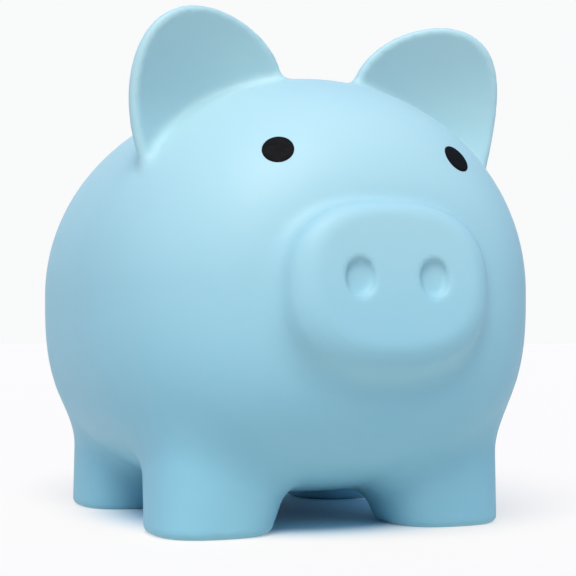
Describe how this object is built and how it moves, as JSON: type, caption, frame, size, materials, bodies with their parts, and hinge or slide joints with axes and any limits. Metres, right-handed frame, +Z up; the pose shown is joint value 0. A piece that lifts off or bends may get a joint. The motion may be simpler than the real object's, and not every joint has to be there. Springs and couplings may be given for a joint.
{
  "type": "piggy bank",
  "caption": "Standing soft-vinyl pig money bank: hollow moulded body with a coin slot in its back and a screw plug with a seal in its belly.",
  "frame": {"origin": "on the floor plane, under the middle of the pig's overall box", "axes": "+Z up, the nose points to -Y, the pig's left side is +X; x = 0 is the mirror plane"},
  "size_m": [0.16, 0.2144, 0.1769],
  "materials": {
    "blue_vinyl": "matte moulded soft vinyl",
    "black_vinyl": "flat black",
    "collar_plastic": "satin moulded",
    "seal_rubber": "matte soft rubber",
    "plug_plastic": "satin moulded"
  },
  "bodies": {
    "pig": {"body_shell": "blue_vinyl", "left_eye": "black_vinyl", "right_eye": "black_vinyl", "collar": "collar_plastic"},
    "seal": {"stopper_seal": "seal_rubber"},
    "plug": {"stopper_plug": "plug_plastic"}
  },
  "joints": [
    {"name": "plug_travel", "type": "slide", "parent": "pig", "child": "seal", "axis": [0, 0, -1], "range_m": [0, 0.008]},
    {"name": "plug_turn", "type": "hinge", "parent": "seal", "child": "plug", "pos_m": [0, 0.00087, 0.015], "axis": [0, 0, -1], "range_deg": [0, 120]}
  ],
  "couplings": [
    {"joint": "plug_travel", "follows": "plug_turn", "m_per_rad": 0.0038197}
  ]
}
